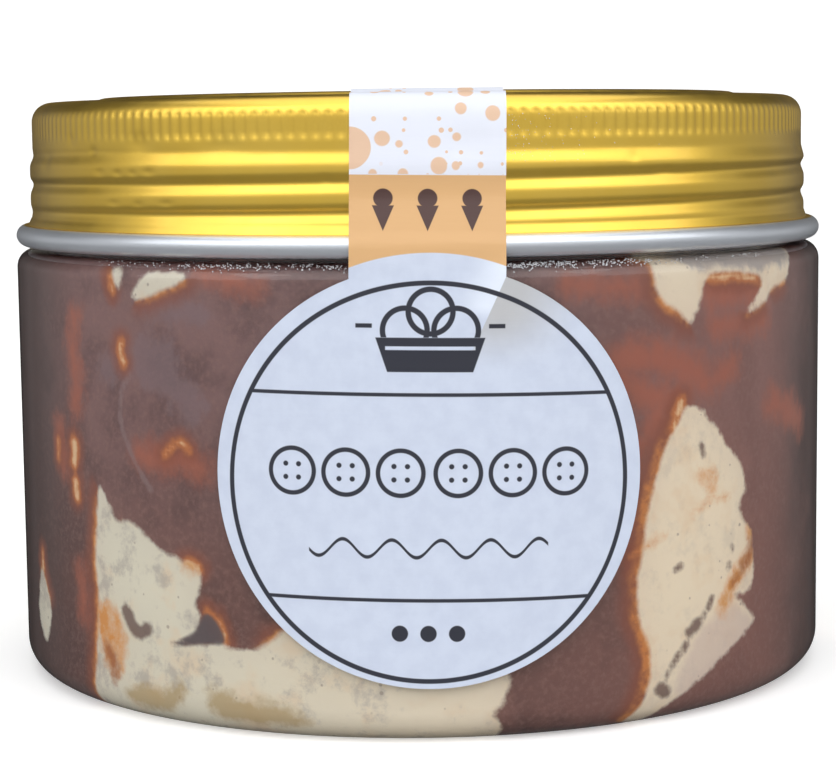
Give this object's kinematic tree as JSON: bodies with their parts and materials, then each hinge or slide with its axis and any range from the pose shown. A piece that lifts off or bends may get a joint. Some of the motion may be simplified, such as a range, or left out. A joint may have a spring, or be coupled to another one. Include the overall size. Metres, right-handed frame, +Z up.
{
  "type": "gelato cup",
  "caption": "Squat clear jar of marbled chocolate and cream gelato under a gold screw lid, closed by a one-piece keyhole seal label.",
  "frame": {"origin": "centre of the jar's base, on the surface it stands on", "axes": "+Z up along the jar's axis; the label faces -Y; +X is to the right of someone facing the label"},
  "size_m": [0.085, 0.0855, 0.06],
  "materials": {
    "clear_plastic": "clear, glossy",
    "gelato": "frozen chocolate gelato marbled with cream and a little caramel",
    "gold_lid": "gold lacquered, satin gloss",
    "label": "printed film, satin"
  },
  "bodies": {
    "root": {"jar": "clear_plastic", "gelato": "gelato", "screw_lid": "gold_lid", "seal_label": "label"}
  },
  "joints": []
}
